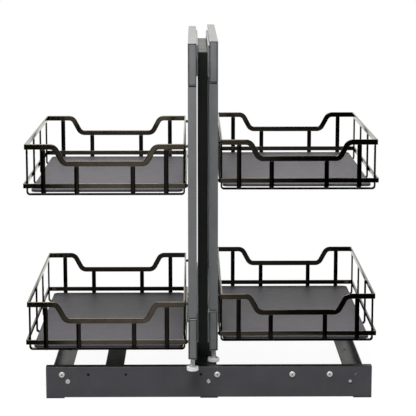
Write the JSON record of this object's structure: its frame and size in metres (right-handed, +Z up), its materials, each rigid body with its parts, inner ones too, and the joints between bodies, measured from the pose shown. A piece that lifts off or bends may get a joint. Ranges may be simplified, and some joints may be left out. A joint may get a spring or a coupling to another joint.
{
  "type": "blind corner organizer",
  "caption": "Pull-out organizer for a blind corner cabinet: wire baskets on two pull-out frames, carried by a column that slides sideways on a floor frame.",
  "frame": {"origin": "middle of the floor frame at floor level, at the centre of the corner floor holes", "axes": "+X to the right along the rails, +Y from the front rail to the rear rail, +Z up"},
  "size_m": [0.5984, 0.5412, 0.609],
  "materials": {
    "base_paint": "satin dark grey powder coat",
    "black_paint": "satin black powder coat",
    "frame_paint": "satin grey paint",
    "black_nickel": "black nickel plate, glossy",
    "board": "grey melamine-faced board",
    "black_plastic": "black moulded",
    "runner_steel": "zinc-plated rolled steel",
    "ball_steel": "bright steel balls in a strip",
    "zinc": "bright zinc",
    "nylon": "white nylon"
  },
  "bodies": {
    "base": {"front_rail": "base_paint", "rear_rail": "base_paint", "left_cross_rail": "base_paint", "centre_cross_rail": "base_paint", "right_cross_rail": "base_paint", "track_outers": "runner_steel", "rail_screws": "zinc", "rail_rivets": "zinc"},
    "track_mid": {"track_middles": "runner_steel", "track_ball_rows": "ball_steel"},
    "carriage": {"track_inners": "runner_steel", "carriage_rail": "black_paint", "outrigger_rail": "black_paint", "carriage_screws": "zinc", "column_front_upright": "black_paint", "column_rear_upright": "black_paint", "column_top_rail": "black_paint", "column_bottom_rail": "black_paint", "left_runner_outers": "runner_steel", "right_runner_outers": "runner_steel"},
    "left_mid": {"left_runner_middles": "runner_steel", "left_ball_rows": "ball_steel"},
    "left_frame": {"left_runner_inners": "runner_steel", "left_top_arm": "frame_paint", "left_bottom_arm": "frame_paint", "left_front_post": "frame_paint", "left_rear_post": "frame_paint", "left_post_spigots": "black_plastic", "left_foot_nut": "zinc", "left_upper_rim": "black_nickel", "left_upper_band": "black_nickel", "left_upper_straps": "black_nickel", "left_upper_board": "board", "left_lower_rim": "black_nickel", "left_lower_band": "black_nickel", "left_lower_straps": "black_nickel", "left_lower_board": "board", "left_basket_pegs": "black_plastic"},
    "left_foot": {"left_foot_stud": "zinc", "left_foot_pad": "nylon"},
    "right_mid": {"right_runner_middles": "runner_steel", "right_ball_rows": "ball_steel"},
    "right_frame": {"right_runner_inners": "runner_steel", "right_top_arm": "frame_paint", "right_bottom_arm": "frame_paint", "right_front_post": "frame_paint", "right_rear_post": "frame_paint", "right_post_spigots": "black_plastic", "right_foot_nut": "zinc", "right_upper_rim": "black_nickel", "right_upper_band": "black_nickel", "right_upper_straps": "black_nickel", "right_upper_board": "board", "right_lower_rim": "black_nickel", "right_lower_band": "black_nickel", "right_lower_straps": "black_nickel", "right_lower_board": "board", "right_basket_pegs": "black_plastic"},
    "right_foot": {"right_foot_stud": "zinc", "right_foot_pad": "nylon"}
  },
  "joints": [
    {"name": "carriage_slide", "type": "slide", "parent": "base", "child": "carriage", "axis": [1, 0, 0], "range_m": [0, 0.3]},
    {"name": "track_mid_slide", "type": "slide", "parent": "base", "child": "track_mid", "axis": [1, 0, 0], "range_m": [0, 0.15]},
    {"name": "left_pull", "type": "slide", "parent": "carriage", "child": "left_frame", "axis": [0, -1, 0], "range_m": [-0.054, 0.336]},
    {"name": "left_mid_slide", "type": "slide", "parent": "carriage", "child": "left_mid", "axis": [0, -1, 0], "range_m": [-0.027, 0.168]},
    {"name": "right_pull", "type": "slide", "parent": "carriage", "child": "right_frame", "axis": [0, -1, 0], "range_m": [0, 0.39]},
    {"name": "right_mid_slide", "type": "slide", "parent": "carriage", "child": "right_mid", "axis": [0, -1, 0], "range_m": [0, 0.195]},
    {"name": "left_foot_adjust", "type": "slide", "parent": "left_frame", "child": "left_foot", "axis": [0, 0, 1], "range_m": [0, 0.005]},
    {"name": "right_foot_adjust", "type": "slide", "parent": "right_frame", "child": "right_foot", "axis": [0, 0, 1], "range_m": [0, 0.005]}
  ],
  "couplings": [
    {"joint": "track_mid_slide", "follows": "carriage_slide", "ratio": 0.5},
    {"joint": "left_mid_slide", "follows": "left_pull", "ratio": 0.5},
    {"joint": "right_mid_slide", "follows": "right_pull", "ratio": 0.5}
  ]
}
